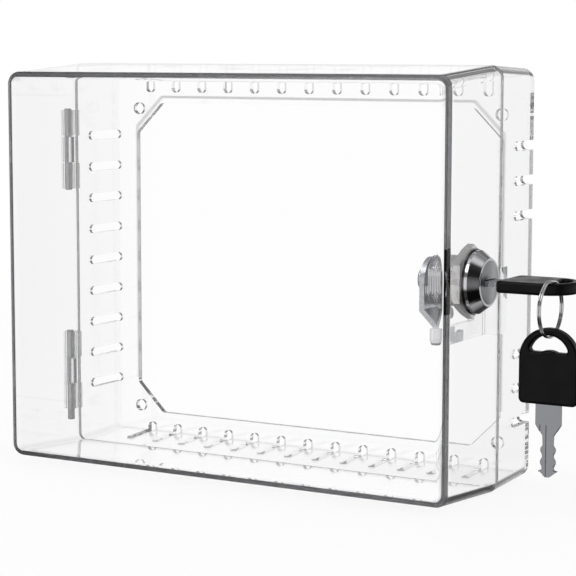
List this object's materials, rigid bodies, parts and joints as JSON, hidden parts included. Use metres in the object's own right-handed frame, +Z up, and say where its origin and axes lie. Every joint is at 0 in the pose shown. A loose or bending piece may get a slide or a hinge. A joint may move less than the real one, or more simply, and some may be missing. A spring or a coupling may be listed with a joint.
{
  "type": "thermostat lock box",
  "caption": "Clear plastic guard box for a wall thermostat: a slotted base tray, a deep hinged cover and a cam lock with its key and a spare on a ring.",
  "frame": {"origin": "midway between the four wall screw holes, on the wall face", "axes": "+X to the lock side, +Y into the wall, +Z up"},
  "size_m": [0.2466, 0.077, 0.162],
  "materials": {
    "clear_plastic": "clear polycarbonate, glossy",
    "pin_steel": "bright steel pin",
    "bright_chrome": "polished chrome plate",
    "spring_steel": "plain spring steel",
    "plug_zinc": "die-cast zinc, nickel plated",
    "face_steel": "satin stainless cap",
    "wafer_brass": "stamped brass",
    "cam_steel": "zinc-plated steel",
    "key_steel": "nickel-plated key blank",
    "ring_steel": "nickel-plated spring wire",
    "black_plastic": "fine matt black moulding"
  },
  "bodies": {
    "base": {"base_tray": "clear_plastic", "upper_hinge_pin": "pin_steel", "lower_hinge_pin": "pin_steel"},
    "cover": {"front_cover": "clear_plastic", "lock_housing": "bright_chrome", "lock_nut": "bright_chrome", "lock_washer": "spring_steel"},
    "plug": {"lock_plug": "plug_zinc", "plug_face_cap": "face_steel", "wafer_tumblers": "wafer_brass", "wafer_springs": "spring_steel", "stop_washer": "spring_steel", "lock_cam": "cam_steel", "cam_spring_washer": "spring_steel", "cam_screw": "cam_steel"},
    "key": {"key_blade": "key_steel", "key_head": "black_plastic"},
    "ring": {"key_ring": "ring_steel"},
    "spare_key": {"spare_key_blade": "key_steel", "spare_key_head": "black_plastic"}
  },
  "joints": [
    {"name": "lid_hinge", "type": "hinge", "parent": "base", "child": "cover", "pos_m": [-0.1017, -0.0305, 0], "axis": [0, 0, -1], "range_deg": [0, 120]},
    {"name": "lock_turn", "type": "hinge", "parent": "cover", "child": "plug", "pos_m": [0.098, -0.051, 0.00505], "axis": [1, 0, 0], "range_deg": [0, 90]},
    {"name": "key_pull", "type": "slide", "parent": "plug", "child": "key", "axis": [1, 0, 0], "range_m": [0, 0.03]},
    {"name": "ring_swing", "type": "hinge", "parent": "key", "child": "ring", "pos_m": [0.13084, -0.0604, 0.00505], "axis": [1, 0, 0], "range_deg": [-5, 35]},
    {"name": "spare_swing", "type": "hinge", "parent": "ring", "child": "spare_key", "pos_m": [0.13084, -0.0604, -0.01186], "axis": [0, 1, 0], "range_deg": [-25, 25]}
  ]
}
